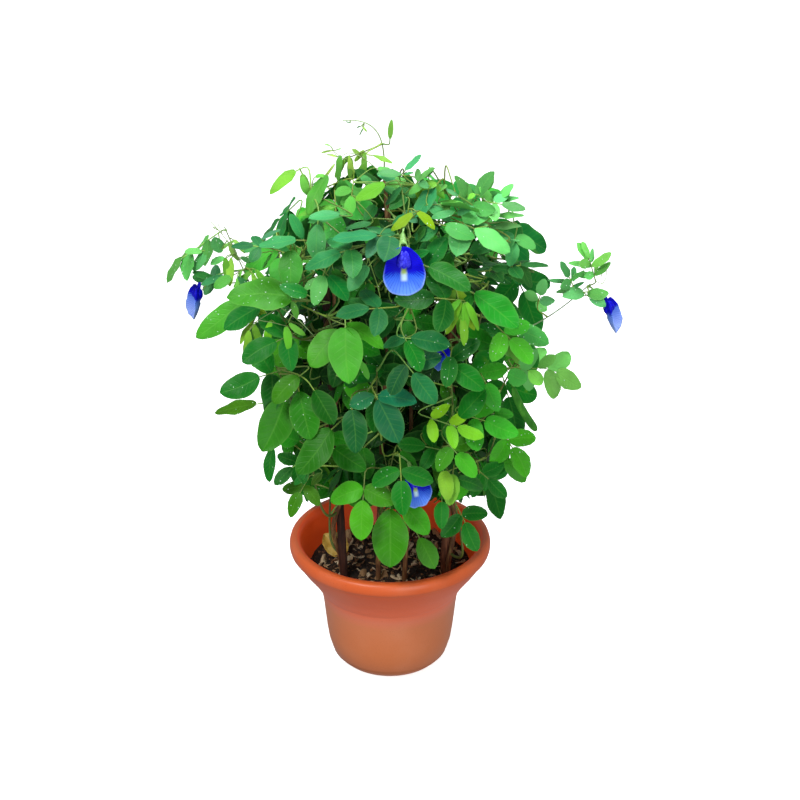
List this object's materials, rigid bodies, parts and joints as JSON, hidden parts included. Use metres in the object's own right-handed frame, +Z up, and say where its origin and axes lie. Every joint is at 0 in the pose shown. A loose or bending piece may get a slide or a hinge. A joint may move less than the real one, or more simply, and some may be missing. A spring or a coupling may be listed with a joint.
{
  "type": "potted butterfly pea",
  "caption": "Bushy climbing butterfly pea with royal blue blooms, wound on stakes in a round flared terracotta-coloured plastic pot.",
  "frame": {"origin": "centre of the pot's underside, on the surface it stands on", "axes": "+Z up, -Y towards the front, +X to the right as seen from the front"},
  "size_m": [0.4428, 0.306, 0.5878],
  "materials": {
    "pot": "soft sheen, terracotta orange",
    "soil": "damp potting mix of bark and peat",
    "stake": "rough bark",
    "vine": "thin bark",
    "dark_leaf": "mature leaf, soft gloss",
    "fresh_leaf": "younger leaf, soft gloss",
    "petal": "velvety petal",
    "pod": "green pod, soft gloss",
    "yellow_leaf": "dry leaf"
  },
  "bodies": {
    "root": {"pot": "pot", "soil": "soil", "stake_left": "stake", "stake_right": "stake", "vine_left": "vine", "vine_right": "vine", "vine_front": "vine", "vine_inner": "vine", "vine_back": "vine", "fallen_leaf": "yellow_leaf", "bloom_front": "petal", "bloom_left": "petal", "bloom_right": "petal", "bloom_low": "petal", "bloom_upper": "petal", "bloom_middle": "petal", "pod": "pod", "shoot_crownTip": "fresh_leaf", "shoot_crownLeft": "fresh_leaf", "shoot_crownRight": "fresh_leaf", "shoot_upRight": "fresh_leaf", "shoot_bloomFront": "fresh_leaf", "shoot_leftUpper": "fresh_leaf", "shoot_bloomLeft": "fresh_leaf", "shoot_leftMid": "fresh_leaf", "shoot_frontLeft": "fresh_leaf", "shoot_left": "dark_leaf", "shoot_lowLeft": "dark_leaf", "shoot_lowFront": "fresh_leaf", "shoot_frontCentre": "dark_leaf", "shoot_frontLow": "dark_leaf", "shoot_frontRight": "fresh_leaf", "shoot_rightUpper": "fresh_leaf", "shoot_bloomRight": "fresh_leaf", "shoot_rightMid": "fresh_leaf", "shoot_lowRight": "fresh_leaf", "shoot_rimRight": "dark_leaf", "shoot_back11": "fresh_leaf", "shoot_back12": "fresh_leaf", "shoot_back13": "fresh_leaf", "shoot_back14": "fresh_leaf", "shoot_back21": "fresh_leaf", "shoot_back22": "fresh_leaf", "shoot_back23": "fresh_leaf", "shoot_back24": "fresh_leaf", "shoot_back25": "fresh_leaf", "shoot_back31": "fresh_leaf", "shoot_back32": "fresh_leaf", "shoot_back33": "fresh_leaf", "shoot_back34": "fresh_leaf", "shoot_back41": "fresh_leaf", "shoot_back42": "fresh_leaf", "shoot_back43": "fresh_leaf"}
  },
  "joints": []
}
